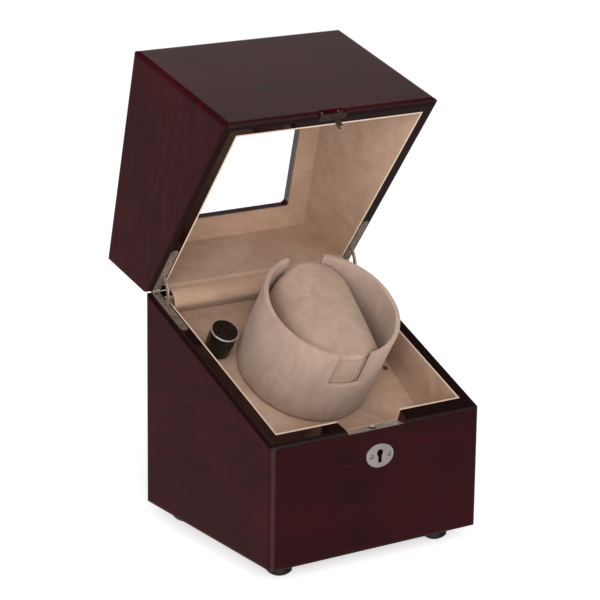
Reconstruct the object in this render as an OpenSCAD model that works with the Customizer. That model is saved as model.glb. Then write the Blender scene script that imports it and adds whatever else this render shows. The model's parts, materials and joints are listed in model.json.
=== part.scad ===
// Watch winder box: a lacquered wooden case with a sloped rim, a hinged lid with a window,
// a suede-covered deck and a motor-driven cup that turns a watch on its cushion.
// Millimetres, +Z up, +Y to the back. The origin is on the floor under the middle of the case.

/* [Case] */
// Width of the case
body_w = 165; // [160:1:175]
// Depth of the case
body_d = 156.5; // [154:0.5:160]
// Height of the base at its front
front_h = 85.5; // [84:0.5:88]
// Height of the base at its back
back_h = 151.6; // [150:0.1:153]
// Height of the closed case above its feet
case_h = 208.5; // [206:0.5:215]
// Thickness of the wooden walls
wall = 9.5; // [9:0.1:10]
// Radius of the outer edges
edge_r = 3.5; // [2:0.5:4]
// Thickness of the suede-covered lining boards
lining_t = 1.2; // [1:0.1:1.4]

/* [Feet] */
// Height of the feet
foot_h = 10; // [8:0.5:12]
// Radius of a foot
foot_r = 8.5; // [7:0.5:10]
// Distance from the case sides to the foot centres
foot_inset = 20; // [14:1:24]

/* [Lid] */
// Opening angle of the lid, as it stands here
lid_open = 76; // [70:1:80]
// Gap between the rims when the lid is shut
lid_gap = 0.8; // [0.6:0.1:1]
// Width of the window opening
window_w = 111; // [90:1:116]
// Depth of the window opening
window_d = 101.5; // [80:0.5:108]
// Thickness of the window pane
pane_t = 4; // [2:0.1:4]

/* [Deck] */
// Slope of the deck, across which the cup turns
deck_slope = 33; // [32:0.5:34]
// Height of the deck surface above the floor at mid depth
deck_mid_z = 94.7; // [94:0.1:96]
// Thickness of the deck
deck_t = 4; // [3:0.5:4]

/* [Cup] */
// Outer radius of the cup
cup_r = 47.5; // [46:0.5:48]
// Height of the cup rim above the deck
cup_top = 64.5; // [60:0.5:66]
// Thickness of the cup wall
cup_wall = 3.2; // [2.5:0.1:3.5]
// Width of a finger notch
notch_w = 25; // [20:0.5:28]
// Height above the deck at which a finger notch ends
notch_floor = 36.5; // [30:0.5:45]

/* [Cushion] */
// Width of the watch cushion
cushion_w = 66; // [56:1:70]
// Height of the cushion top above the deck
cushion_top = 62; // [55:1:64]

/* [Control knob] */
// Radius of the knob at its top
knob_r = 9.8; // [8:0.1:9.9]
// Height of the knob top above the deck
knob_top = 20.4; // [16:0.2:24]

/* [Gears] */
// Gear module
gear_m = 0.8; // [0.8:0.1:0.8]
// Teeth of the drive gear
drive_teeth = 60; // [60:4:60]
// Teeth of the motor pinion
pinion_teeth = 16; // [16:4:16]

/* [Hidden] */
$fn = 72;
e = 0.01;
far = 400;
hw = body_w / 2;
hd = body_d / 2;
z0 = foot_h;
case_top = z0 + case_h;
in_w = hw - wall;
in_d = hd - wall;
fit_w = in_w - lining_t;
fit_d = in_d - lining_t;
rim_slope = atan((back_h - front_h) / body_d);
rim_len = body_d / cos(rim_slope);
gap_z = lid_gap / cos(rim_slope);
bottom_t = 9;

// Hinges, placed along the rim
hinge_s = rim_len - 4.5;
hinge_z = 1.2;
stop_clear = 0.2;
pivot = [
    0,
    -hd + hinge_s * cos(rim_slope) - hinge_z * sin(rim_slope),
    z0 + front_h + hinge_s * sin(rim_slope) + hinge_z * cos(rim_slope)
];
leaf_t = 1.4;
leaf_w = 5.8;
leaf_x = in_w + 0.9 + leaf_w / 2;
leaf_start = hinge_s - 42.5;
leaf_end = hinge_s - 2.6;
knuckle_r = 2;
hinge_pin_r = 1;
knuckle_clear = 0.15;
knuckle_seg = leaf_w / 3;
screw_s = [hinge_s - 37.7, hinge_s - 27.6];
screw_r = 1.1;
screw_head_r = 2.1;
screw_len = 8;
screw_gap = 0.25;
stay_in = 13;
stay_out = 15.7;
stay_t = 1.2;
stay_x = leaf_x - 1;
stay_clear = 0.3;
stay_tail = 10;
stay_slot_back = 5.5;

// Suede flap that covers the hinge gap, in the Y-Z plane
flap_at = [66.9, z0 + back_h - 7.5];
flap_r = 9.5;
flap_t = 0.8;
flap_lid_edge = [69.1, z0 + back_h + 4.4];
flap_drop = 13.1;

// Lock, in the front wall
lock_x = 1.5;
catch_x = -0.5;
notch_x = -0.5;
notch_len = 44.8;
notch_draft = 0.4;
notch_z = z0 + front_h - 2.4;
plate_t = 1.2;
plate_y = [-hd + 1.2, -in_d];
case_w = 40;
case_y = -hd + 2;
case_z = 66;
case_wall = 0.8;
key_z = z0 + 67;
key_r = 2.5;
slot_w = 3;
slot_low = z0 + 60.4;
plate_oval = [21.3, 16];
plate_oval_z = z0 + 65.3;
catch_s = 4.2;
catch_w = 3.4;
catch_len = 10.2;
catch_hole_depth = 8.8;
flange = [[-11, -1.8], [9, 3]];
scoop_x = -2.3;
scoop_w = 22;
scoop_rise = 6;
scoop_depth = 2.5;
catch_hole_r = 1.6;
bolt_pin_r = 1.1;
bolt_y = -hd + catch_s * cos(rim_slope) - (lid_gap - catch_hole_depth) * sin(rim_slope);
bolt_z = z0 + front_h + catch_s * sin(rim_slope) + (lid_gap - catch_hole_depth) * cos(rim_slope);
pin_hole_y = bolt_y - 1.2;
pin_hole_r = 3;

// Deck fittings, in the deck's own frame
cup_at = [5.4, 22.5];
knob_at = [-48, 51.3];
deck_screw_at = [67.5, 10.8];
cup_base = 2;
cup_floor_t = 3;
cup_turn = -8;
rear_notch_turn = 4;
rear_notch_extra = 3.5;
hub_r = 10;
hub_top = 9;
spindle_r = 4;
spindle_low = -36;
bush_r = 7;
bush_flange_r = 9;
bush_low = -14;
bush_clear = 0.06;
gear_z = -27;
gear_t = 6;
gear_hub_r = 8;
gear_gap = gear_m * (drive_teeth + pinion_teeth) / 2;
motor_at = [cup_at.x, cup_at.y - gear_gap];
backlash = 0.12;
pressure = 20;
pinion_z = -28;
pinion_t = 8;
shaft_r = 1.5;
frame_z = -34;
frame_t = 2;
post_r = 4;
posts = [for (x = [-30, 30], y = [-44.9, 15.1]) [cup_at.x + x, cup_at.y + y]];
rail_w = 8;
knob_base = 1;
switch_size = 16;
switch_t = 9;
cushion_low = 12;
cushion_clear = 1;
cushion_round = 22;

// Power and control electronics
board_at = [-46, 8, z0 + bottom_t];
board_size = [40, 56, 1.6];
standoff_h = 4;
inlet_at = [-50, hd, 36];
lead_r = 1.1;

// ---- geometry helpers ----

function unit(v) = v / norm(v);
function inward(a, b) = let (d = unit(b - a)) [-d.y, d.x];
function inset_point(p, i, r) =
    let (
        n = len(p),
        a = inward(p[(i + n - 1) % n], p[i]),
        b = inward(p[i], p[(i + 1) % n])
    )
    p[i] + r * (a + b) / (1 + a * b);
function rim_z(y) = z0 + front_h + (y + hd) * tan(rim_slope);
function deck_z(y, below) = deck_mid_z + y * tan(deck_slope) - below / cos(deck_slope);
function deg(radians) = radians * 180 / PI;
function involute(a) = tan(a) - a * PI / 180;
function polar(r, a) = [r * cos(a), r * sin(a)];

// A convex outline, given anticlockwise, with its corners rounded by true arcs
module round_poly(p, r) {
    q = [for (i = [0 : len(p) - 1]) inset_point(p, i, r)];
    polygon(q);
    for (i = [0 : len(p) - 1]) {
        j = (i + 1) % len(p);
        out = -r * inward(p[i], p[j]);
        polygon([q[i], q[i] + out, q[j] + out, q[j]]);
        translate(q[i]) circle(r);
    }
}

module round_rect(w, d, r) {
    round_poly([[-w / 2, -d / 2], [w / 2, -d / 2], [w / 2, d / 2], [-w / 2, d / 2]], r);
}

module block(low, high) {
    translate(low) cube(high - low);
}

module along_x(x, w) {
    translate([x, 0, 0]) rotate([90, 0, 90]) linear_extrude(w) children();
}

module along_y(y, d) {
    translate([0, y + d, 0]) rotate([90, 0, 0]) linear_extrude(d) children();
}

module both_sides() {
    children();
    mirror([1, 0, 0]) children();
}

// Frame of the base rim: Y runs up the slope from the front edge, Z stands out of the rim
module rim_frame() {
    translate([0, -hd, z0 + front_h]) rotate([rim_slope, 0, 0]) children();
}

// Frame of the deck: Y runs up the slope, Z stands out of the deck
module deck_frame() {
    translate([0, 0, deck_mid_z]) rotate([deck_slope, 0, 0]) children();
}

// Turns what belongs to the shut lid to the open position
module lid_pose() {
    translate(pivot) rotate([-lid_open, 0, 0]) translate(-pivot) children();
}

module at_cup() {
    deck_frame() translate([cup_at.x, cup_at.y, 0]) children();
}

module tube(outer, inner, low, high) {
    translate([0, 0, low]) difference() {
        cylinder(r = outer, h = high - low);
        translate([0, 0, -1]) cylinder(r = inner, h = high - low + 2);
    }
}

module rod(r, low, high) {
    translate([0, 0, low]) cylinder(r = r, h = high - low);
}

// Countersunk screw with its head flush with Z = 0, pointing down
module screw(head_r, r, length) {
    rotate([180, 0, 0]) {
        cylinder(r1 = head_r, r2 = r, h = head_r - r);
        cylinder(r = r, h = length);
    }
}

module slot_cut(w, t, depth) {
    translate([-w / 2, -t / 2, -depth]) cube([w, t, depth + 1]);
}

// ---- case outline ----

module base_block() {
    intersection() {
        along_x(-hw, body_w)
            round_poly([[-hd, z0], [hd, z0], [hd, z0 + back_h], [-hd, z0 + front_h]], edge_r);
        linear_extrude(far) round_rect(body_w, body_d, edge_r);
        along_y(-hd, body_d)
            round_poly([[-hw, z0], [hw, z0], [hw, far], [-hw, far]], edge_r);
        rim_frame() along_y(-far / 2, far)
            round_poly([[-hw, -far], [hw, -far], [hw, 0], [-hw, 0]], edge_r);
    }
}

module lid_block() {
    intersection() {
        along_x(-hw, body_w)
            round_poly([
                [-hd, z0 + front_h + gap_z], [hd, z0 + back_h + gap_z], [hd, case_top], [-hd, case_top]
            ], edge_r);
        linear_extrude(far) round_rect(body_w, body_d, edge_r);
        along_y(-hd, body_d)
            round_poly([[-hw, 0], [hw, 0], [hw, case_top], [-hw, case_top]], edge_r);
        rim_frame() along_y(-far / 2, far)
            round_poly([[-hw, lid_gap], [hw, lid_gap], [hw, far], [-hw, far]], edge_r);
    }
}

// Clears what lies behind the pin, so that base and lid meet on a bevel when the lid is open
module stop_bevel(side) {
    rim_frame() translate([0, hinge_s, hinge_z]) along_x(-far / 2, far)
        translate([0, -side * stop_clear / cos(lid_open / 2)])
            polygon([[0, 0], polar(far, -side * lid_open / 2), [far, side * far], [0, side * far]]);
}

module left_wall() {
    block([-hw, -hd, 0], [-in_w, hd, far]);
}

module front_wall() {
    block([-in_w, -hd, 0], [in_w, -in_d, far]);
}

module back_wall() {
    block([-in_w, in_d, 0], [in_w, hd, far]);
}

// ---- hinges ----

// Pocket and plate share this outline, in the rim frame, for the left hinge
module leaf_outline(low, high) {
    translate([-leaf_x, 0, low]) linear_extrude(high - low) {
        translate([-leaf_w / 2, leaf_start + leaf_w / 2])
            square([leaf_w, leaf_end - leaf_start - leaf_w / 2]);
        translate([0, leaf_start + leaf_w / 2]) circle(leaf_w / 2);
    }
}

// One barrel of the knuckle: the segments are counted from the outside, 0 to 2
module barrel(segment) {
    x = -leaf_x - leaf_w / 2 + segment * knuckle_seg;
    translate([x + knuckle_clear, hinge_s, hinge_z]) rotate([0, 90, 0])
        cylinder(r = knuckle_r, h = knuckle_seg - 2 * knuckle_clear);
}

module barrel_root(segment, low, high) {
    x = -leaf_x - leaf_w / 2 + segment * knuckle_seg;
    block(
        [x + knuckle_clear, leaf_end - e, low],
        [x + knuckle_seg - knuckle_clear, hinge_s - knuckle_r / 2, high]
    );
}

module pin_bore(r) {
    translate([-leaf_x - leaf_w, hinge_s, hinge_z]) rotate([0, 90, 0]) cylinder(r = r, h = 2 * leaf_w);
}

module knuckle_pocket() {
    translate([-leaf_x - leaf_w / 2 - 0.2, hinge_s, hinge_z]) rotate([0, 90, 0])
        cylinder(r = knuckle_r + 0.4, h = leaf_w + 1);
}

// Ring about the pin, in world space; its arm stays with the base and slides into the lid
module stay_ring(inner, outer, x, t) {
    translate([x - t / 2, pivot.y, pivot.z]) rotate([90, 0, 90]) linear_extrude(t)
        difference() {
            circle(outer);
            circle(inner);
        }
}

module stay_arm() {
    from = 180 + rim_slope - lid_open - stay_tail;
    to = 180 + rim_slope + 3;
    intersection() {
        stay_ring(stay_in, stay_out, -stay_x, stay_t);
        along_x(-stay_x - stay_t, 2 * stay_t) translate([pivot.y, pivot.z])
            polygon([[0, 0], polar(40, from), polar(40, (from + to) / 2), polar(40, to)]);
    }
}

// Slot for the arm inside the shut lid's wall
module stay_slot() {
    intersection() {
        stay_ring(stay_in - stay_clear, stay_out + stay_clear, -stay_x, stay_t + 2 * stay_clear);
        block([-hw, 0, 0], [0, pivot.y - stay_slot_back, far]);
    }
}

module hinge_screw_places(z) {
    for (s = screw_s) {
        translate([-leaf_x, s, z]) children();
    }
}

module base_leaf() {
    difference() {
        rim_frame() difference() {
            union() {
                leaf_outline(-leaf_t, 0);
                for (i = [0, 2]) {
                    barrel(i);
                    barrel_root(i, -leaf_t, 0);
                }
            }
            pin_bore(hinge_pin_r);
            hinge_screw_places(0) screw(screw_head_r + screw_gap, screw_r, screw_len);
        }
        stay_arm();
    }
}

module lid_leaf() {
    lid_pose() difference() {
        rim_frame() difference() {
            union() {
                leaf_outline(lid_gap, lid_gap + leaf_t);
                barrel(1);
                barrel_root(1, lid_gap, lid_gap + leaf_t);
            }
            pin_bore(hinge_pin_r + 0.05);
            hinge_screw_places(lid_gap) mirror([0, 0, 1])
                screw(screw_head_r + screw_gap, screw_r, screw_len);
        }
        stay_slot();
    }
}

// ---- base carcass ----

module base_side() {
    difference() {
        intersection() {
            base_block();
            left_wall();
        }
        stop_bevel(1);
        rim_frame() {
            leaf_outline(-leaf_t, 5);
            knuckle_pocket();
            for (i = [0, 2]) {
                barrel_root(i, -leaf_t, 5);
            }
            hinge_screw_places(0) screw(screw_head_r, screw_r, screw_len);
        }
        stay_arm();
    }
}

module base_left_panel() {
    color([0.25, 0.09, 0.1]) base_side();
}

module base_right_panel() {
    color([0.25, 0.09, 0.1]) mirror([1, 0, 0]) base_side();
}

module keyhole(y, depth) {
    translate([lock_x, y, key_z]) rotate([-90, 0, 0]) cylinder(r = key_r, h = depth);
    block([lock_x - slot_w / 2, y, slot_low], [lock_x + slot_w / 2, y + depth, key_z]);
}

module notch_cut() {
    rise = back_h;
    half = notch_len / 2;
    top = half + notch_draft * rise;
    translate([notch_x, 0, notch_z]) along_y(-hd - 1, hd)
        polygon([[-half, 0], [half, 0], [top, rise], [-top, rise]]);
}

module base_front_panel() {
    color([0.25, 0.09, 0.1]) difference() {
        intersection() {
            base_block();
            front_wall();
        }
        notch_cut();
        block(
            [notch_x - notch_len / 2, plate_y[0], notch_z - plate_t],
            [notch_x + notch_len / 2, 0, notch_z + 1]
        );
        block([lock_x - case_w / 2, case_y, case_z], [lock_x + case_w / 2, 0, notch_z]);
        keyhole(-hd - 1, 5);
        escutcheon_places() cylinder(r = 0.9, h = 20, center = true);
    }
}

module base_back_panel() {
    color([0.25, 0.09, 0.1]) difference() {
        intersection() {
            base_block();
            back_wall();
        }
        stop_bevel(1);
        inlet_frame() rod(4, -20, 20);
    }
}

module base_bottom_panel() {
    color([0.2, 0.08, 0.08]) difference() {
        block([-in_w, -in_d, z0], [in_w, in_d, z0 + bottom_t]);
        standoff_places() rod(1.2, -6, 1);
    }
}

module feet() {
    color([0.05, 0.05, 0.05]) for (x = [-1, 1], y = [-1, 1]) {
        translate([x * (hw - foot_inset), y * (hd - foot_inset), 0]) intersection() {
            cylinder(r = foot_r, h = foot_h);
            translate([0, 0, foot_h]) sphere(foot_h * 1.12);
        }
    }
}

// ---- base linings and deck ----

module base_lining_side() {
    along_x(-in_w, lining_t) polygon([
        [-in_d, deck_z(-in_d, deck_t)], [in_d, deck_z(in_d, deck_t)],
        [in_d, rim_z(in_d)], [-in_d, rim_z(-in_d)]
    ]);
}

module base_lining_left() {
    color([0.68, 0.56, 0.47]) base_lining_side();
}

module base_lining_right() {
    color([0.68, 0.56, 0.47]) mirror([1, 0, 0]) base_lining_side();
}

module base_lining_front() {
    color([0.68, 0.56, 0.47]) difference() {
        along_x(-fit_w, 2 * fit_w) polygon([
            [-in_d, deck_z(-in_d, deck_t)], [-fit_d, deck_z(-fit_d, deck_t)],
            [-fit_d, rim_z(-fit_d)], [-in_d, rim_z(-in_d)]
        ]);
        notch_cut();
    }
}

module base_lining_back() {
    color([0.68, 0.56, 0.47]) along_x(-fit_w, 2 * fit_w) polygon([
        [fit_d, deck_z(fit_d, deck_t)], [in_d, deck_z(in_d, deck_t)], [in_d, rim_z(in_d)], [fit_d, rim_z(fit_d)]
    ]);
}

// Strip of suede that hangs from the lid lining in a soft roll and comes back to the base lining
module lining_flap() {
    angles = [for (a = [95 : 10 : 185]) a];
    end = [fit_d, flap_at.y - flap_drop + flap_r / 2];
    color([0.68, 0.56, 0.47]) along_x(-fit_w + 0.3, 2 * fit_w - 0.6) polygon(concat(
        [flap_lid_edge],
        [for (a = angles) flap_at + polar(flap_r, a)],
        [end, end + [0, flap_t]],
        [for (i = [len(angles) - 1 : -1 : 0]) flap_at + polar(flap_r - flap_t, angles[i])],
        [flap_lid_edge - [0, flap_t]]
    ));
}

module deck_screw_places() {
    for (side = [-1, 1]) {
        translate([side * deck_screw_at.x, deck_screw_at.y, 0]) children();
    }
}

module deck_panel() {
    color([0.62, 0.5, 0.41]) difference() {
        intersection() {
            deck_frame() block([-fit_w, -far, -deck_t], [fit_w, far, 0]);
            block([-fit_w, -fit_d, 0], [fit_w, fit_d, far]);
        }
        deck_frame() {
            translate([cup_at.x, cup_at.y, 0]) cylinder(r = bush_r, h = 20, center = true);
            translate([knob_at.x, knob_at.y, 0]) cylinder(r = 3.5, h = 20, center = true);
            deck_screw_places() screw(screw_head_r, screw_r, 12);
            for (p = posts) {
                translate([p.x, p.y, 0]) rod(1.5, -deck_t - 1, -1.5);
            }
        }
    }
}

module deck_rails() {
    color([0.6, 0.45, 0.3]) both_sides() difference() {
        intersection() {
            deck_frame() block([-in_w, -far, -deck_t - rail_w], [-in_w + rail_w, far, -deck_t]);
            block([-in_w, -in_d, z0 + bottom_t], [0, in_d, far]);
        }
        deck_frame() deck_screw_places() screw(screw_head_r, screw_r, 12);
    }
}

module deck_screws() {
    color([0.08, 0.07, 0.07]) deck_frame() deck_screw_places() difference() {
        screw(screw_head_r, screw_r, 12);
        slot_cut(2.4, 0.5, 0.5);
        slot_cut(0.5, 2.4, 0.5);
    }
}

// ---- lid carcass ----

module lid_side() {
    difference() {
        intersection() {
            lid_block();
            left_wall();
        }
        stop_bevel(-1);
        rim_frame() {
            leaf_outline(-5, lid_gap + leaf_t);
            knuckle_pocket();
            barrel_root(1, -5, lid_gap + leaf_t);
            hinge_screw_places(lid_gap) mirror([0, 0, 1]) screw(screw_head_r, screw_r, screw_len);
        }
        stay_slot();
    }
}

module lid_left_panel() {
    color([0.25, 0.09, 0.1]) lid_pose() lid_side();
}

module lid_right_panel() {
    color([0.25, 0.09, 0.1]) lid_pose() mirror([1, 0, 0]) lid_side();
}

module lid_front_panel() {
    color([0.32, 0.16, 0.17]) lid_pose() difference() {
        intersection() {
            lid_block();
            front_wall();
        }
        // Finger scoop in the outer edge
        along_y(-hd - 1, scoop_depth + 1) translate([scoop_x, z0 + front_h + gap_z])
            round_rect(scoop_w, 2 * scoop_rise, 3);
        catch_frame() block([flange[0].x, flange[0].y, 0], [flange[1].x, flange[1].y, plate_t]);
        catch_screw_places() rod(1, -1, 6);
    }
}

module lid_back_panel() {
    color([0.25, 0.09, 0.1]) lid_pose() difference() {
        intersection() {
            lid_block();
            back_wall();
        }
        stop_bevel(-1);
    }
}

module window_hole(grow, radius, low, high) {
    translate([0, 0, low]) linear_extrude(high - low)
        round_rect(window_w + 2 * grow, window_d + 2 * grow, radius);
}

module lid_top_panel() {
    color([0.25, 0.09, 0.1]) lid_pose() difference() {
        block([-in_w, -in_d, case_top - wall], [in_w, in_d, case_top]);
        window_hole(0, 3, 0, far);
        window_hole(3, 5, case_top - pane_t, far);
    }
}

module window_pane() {
    color([0.8, 0.88, 0.9, 0.3]) lid_pose() window_hole(3, 5, case_top - pane_t, case_top);
}

module lid_lining_side() {
    along_x(-in_w, lining_t) polygon([
        [-in_d, rim_z(-in_d) + gap_z], [in_d, rim_z(in_d) + gap_z], [in_d, case_top - wall], [-in_d, case_top - wall]
    ]);
}

module lid_lining_left() {
    color([0.7, 0.58, 0.49]) lid_pose() lid_lining_side();
}

module lid_lining_right() {
    color([0.7, 0.58, 0.49]) lid_pose() mirror([1, 0, 0]) lid_lining_side();
}

module lid_lining_front() {
    color([0.7, 0.58, 0.49]) lid_pose() along_x(-fit_w, 2 * fit_w) polygon([
        [-in_d, rim_z(-in_d) + gap_z], [-fit_d, rim_z(-fit_d) + gap_z],
        [-fit_d, case_top - wall], [-in_d, case_top - wall]
    ]);
}

module lid_lining_back() {
    color([0.7, 0.58, 0.49]) lid_pose() along_x(-fit_w, 2 * fit_w) polygon([
        [fit_d, rim_z(fit_d) + gap_z], [in_d, rim_z(in_d) + gap_z], [in_d, case_top - wall], [fit_d, case_top - wall]
    ]);
}

module lid_lining_top() {
    color([0.7, 0.58, 0.49]) lid_pose() difference() {
        block([-fit_w, -fit_d, case_top - wall - lining_t], [fit_w, fit_d, case_top - wall]);
        window_hole(0, 1, 0, far);
    }
}

// ---- hinge nodes ----

module hinge_base_leaf_left() {
    color([0.75, 0.72, 0.66]) base_leaf();
}

module hinge_base_leaf_right() {
    color([0.75, 0.72, 0.66]) mirror([1, 0, 0]) base_leaf();
}

module hinge_lid_leaf_left() {
    color([0.75, 0.72, 0.66]) lid_leaf();
}

module hinge_lid_leaf_right() {
    color([0.75, 0.72, 0.66]) mirror([1, 0, 0]) lid_leaf();
}

module hinge_pins() {
    color([0.6, 0.58, 0.54]) both_sides()
        translate([-leaf_x - leaf_w / 2, pivot.y, pivot.z]) rotate([0, 90, 0])
            cylinder(r = hinge_pin_r, h = leaf_w);
}

module stay_arm_left() {
    color([0.7, 0.67, 0.6]) stay_arm();
}

module stay_arm_right() {
    color([0.7, 0.67, 0.6]) mirror([1, 0, 0]) stay_arm();
}

module slotted_screw(head_r, r, length) {
    difference() {
        screw(head_r, r, length);
        slot_cut(2 * head_r + 1, 0.5, 0.5);
    }
}

module hinge_base_screws() {
    color([0.7, 0.68, 0.62]) both_sides() rim_frame()
        hinge_screw_places(0) slotted_screw(screw_head_r, screw_r, screw_len);
}

module hinge_lid_screws() {
    color([0.7, 0.68, 0.62]) lid_pose() both_sides() rim_frame()
        hinge_screw_places(lid_gap) mirror([0, 0, 1]) slotted_screw(screw_head_r, screw_r, screw_len);
}

// ---- lock ----

module escutcheon_places() {
    for (side = [-1, 1]) {
        translate([lock_x + side * 7, -hd - 1, plate_oval_z + 0.2]) rotate([90, 0, 0]) children();
    }
}

module escutcheon() {
    color([0.78, 0.77, 0.75]) difference() {
        along_y(-hd - 1, 1) translate([lock_x, plate_oval_z]) polygon([
            for (a = [0 : 5 : 355]) [plate_oval.x / 2 * cos(a), plate_oval.y / 2 * sin(a)]
        ]);
        keyhole(-hd - 2, 3);
        escutcheon_places() cylinder(r = 0.9, h = 20, center = true);
    }
}

module escutcheon_pins() {
    color([0.7, 0.69, 0.66]) escutcheon_places() {
        rod(0.9, -4.9, 0);
        intersection() {
            rod(1.7, 0, 1);
            translate([0, 0, -2.2]) sphere(2.8);
        }
    }
}

module lock_plate() {
    color([0.8, 0.79, 0.77]) difference() {
        block(
            [notch_x - notch_len / 2, plate_y[0], notch_z - plate_t],
            [notch_x + notch_len / 2, plate_y[1], notch_z]
        );
        translate([catch_x, pin_hole_y, 0]) cylinder(r = pin_hole_r, h = far);
    }
}

module lock_case() {
    low = [lock_x - case_w / 2, case_y, case_z];
    high = [lock_x + case_w / 2, -in_d, notch_z - plate_t];
    step_z = key_z + 8;
    color([0.55, 0.54, 0.52]) {
        difference() {
            block(low, high);
            block(
                [low.x + case_wall, low.y + case_wall, step_z],
                [high.x - case_wall, high.y + 1, high.z - case_wall]
            );
            block(
                [low.x + case_wall, low.y + case_wall, low.z + case_wall],
                [high.x - case_wall, high.y - case_wall, step_z + e]
            );
            translate([catch_x, pin_hole_y, 0]) cylinder(r = pin_hole_r, h = far);
            escutcheon_places() cylinder(r = 0.9, h = 20, center = true);
            keyhole(case_y - 1, 2);
        }
        // Post that the hollow key turns on
        translate([lock_x, case_y + case_wall, key_z]) rotate([-90, 0, 0])
            cylinder(r = 1, h = -in_d - case_wall - case_y - case_wall + e);
    }
}

module lock_bolt() {
    color([0.66, 0.6, 0.45]) {
        translate([catch_x - 7 - e, bolt_y, bolt_z]) rotate([0, 90, 0]) cylinder(r = bolt_pin_r, h = 4.5);
        block([catch_x - 16, bolt_y - 2.4, bolt_z - 1.7], [catch_x - 7, bolt_y + 1.4, bolt_z + 1]);
        block([catch_x - 13, bolt_y - 2.4, key_z + 1], [catch_x - 10, bolt_y - 0.6, bolt_z]);
    }
}

// Frame of the catch on the shut lid's rim
module catch_frame() {
    rim_frame() translate([catch_x, catch_s, lid_gap]) children();
}

module catch_screw_places() {
    catch_frame() for (side = [-1, 1]) {
        translate([side * 6.5 - 1, 0.5, 0]) children();
    }
}

module lid_catch() {
    half = catch_w / 2;
    color([0.7, 0.68, 0.62]) lid_pose() difference() {
        catch_frame() union() {
            block([flange[0].x, flange[0].y, 0], [flange[1].x, flange[1].y, plate_t]);
            block([-1, -half, -catch_len + half], [1, half, e]);
            translate([-1, 0, -catch_len + half]) rotate([0, 90, 0]) cylinder(r = half, h = 2);
        }
        catch_frame() translate([-5, 0, -catch_hole_depth]) rotate([0, 90, 0])
            cylinder(r = catch_hole_r, h = 10);
        catch_screw_places() rod(1, -1, 6);
    }
}

module lid_catch_screws() {
    color([0.7, 0.69, 0.66]) lid_pose() catch_screw_places() {
        rod(1, 0, 5.5);
        rod(1.6, -0.5, 0);
    }
}

// ---- control knob ----

module at_knob() {
    deck_frame() translate([knob_at.x, knob_at.y, 0]) children();
}

module control_knob() {
    rim = knob_top - 1.5;
    color([0.05, 0.05, 0.05]) at_knob() difference() {
        union() {
            translate([0, 0, knob_base]) cylinder(r1 = knob_r - 0.7, r2 = knob_r - 0.2, h = rim - knob_base);
            rod(knob_r - 0.9, rim - e, knob_top);
        }
        rod(6.5, 0, 4);
        rod(3, 0, 12);
        // Pointer groove
        rotate([0, 0, 20]) block([-0.6, 4, knob_top - 0.5], [0.6, knob_r - 1.6, knob_top + 1]);
    }
}

module knob_ring() {
    color([0.85, 0.84, 0.82]) at_knob() tube(knob_r, knob_r - 0.9, knob_top - 1.5, knob_top - 0.5);
}

module switch_shaft() {
    color([0.7, 0.7, 0.7]) at_knob() rod(3, -8, 12);
}

module rotary_switch() {
    half = switch_size / 2;
    color([0.15, 0.15, 0.16]) at_knob() difference() {
        union() {
            block([-half, -half, -deck_t - switch_t], [half, half, -deck_t]);
            rod(3.5, -deck_t - e, 2.4);
            cylinder(r = 5.4, h = 1.8, $fn = 6);
            for (i = [-2 : 2]) {
                block([i * 3 - 0.4, -6, -deck_t - switch_t - 3], [i * 3 + 0.4, -5.4, -deck_t - switch_t + e]);
            }
        }
        rod(3 + bush_clear, -8 - bush_clear, 5);
    }
}

// ---- cup and its drive ----

module finger_notches() {
    for (notch = [[-90, notch_w], [90 + rear_notch_turn, notch_w + rear_notch_extra]]) {
        rotate([0, 0, cup_turn + notch[0]])
            block([cup_r / 2, -notch[1] / 2, notch_floor], [cup_r * 2, notch[1] / 2, far]);
    }
}

module cup_shell() {
    color([0.7, 0.59, 0.52]) at_cup() difference() {
        tube(cup_r, cup_r - cup_wall, cup_base, cup_top);
        finger_notches();
    }
}

module cup_floor() {
    color([0.66, 0.55, 0.47]) at_cup() difference() {
        union() {
            rod(cup_r - cup_wall, cup_base, cup_base + cup_floor_t);
            rod(hub_r, cup_base, hub_top);
        }
        rod(spindle_r, 0, hub_top - 1);
        rod(2, 0, hub_top + 1);
    }
}

module cup_screw() {
    color([0.7, 0.7, 0.7]) at_cup() {
        rod(2, -4, hub_top);
        difference() {
            rod(4, hub_top, hub_top + 2.4);
            for (a = [0, 90]) {
                translate([0, 0, hub_top + 2.4]) rotate([0, 0, a]) slot_cut(5, 0.8, 1.2);
            }
        }
    }
}

module spindle() {
    color([0.75, 0.75, 0.75]) at_cup() difference() {
        rod(spindle_r, spindle_low, hub_top - 1);
        rod(2, -4, hub_top);
        tube(spindle_r + 1, spindle_r - 0.8, frame_z - 1.1, frame_z - 0.3);
    }
}

module spindle_clip() {
    color([0.5, 0.5, 0.5]) at_cup() difference() {
        tube(spindle_r + 2.5, spindle_r - 0.8, frame_z - 1.1, frame_z - 0.3);
        block([-2, 0, frame_z - 3], [2, 10, frame_z + 3]);
    }
}

module spindle_bush() {
    color([0.8, 0.65, 0.35]) at_cup() {
        difference() {
            union() {
                rod(bush_flange_r, 0, 1.5);
                rod(bush_r, bush_low, e);
                translate([0, 0, -deck_t - 4]) cylinder(r = 11, h = 4, $fn = 6);
            }
            rod(spindle_r + bush_clear, bush_low - 1, 3);
        }
    }
}

// Half the angle of a tooth at radius r, for a gear of pitch radius rp
function tooth_half(rp, r) =
    deg((PI * gear_m / 2 - backlash) / (2 * rp) + involute(pressure)
        - involute(acos(min(1, rp * cos(pressure) / r))));

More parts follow.
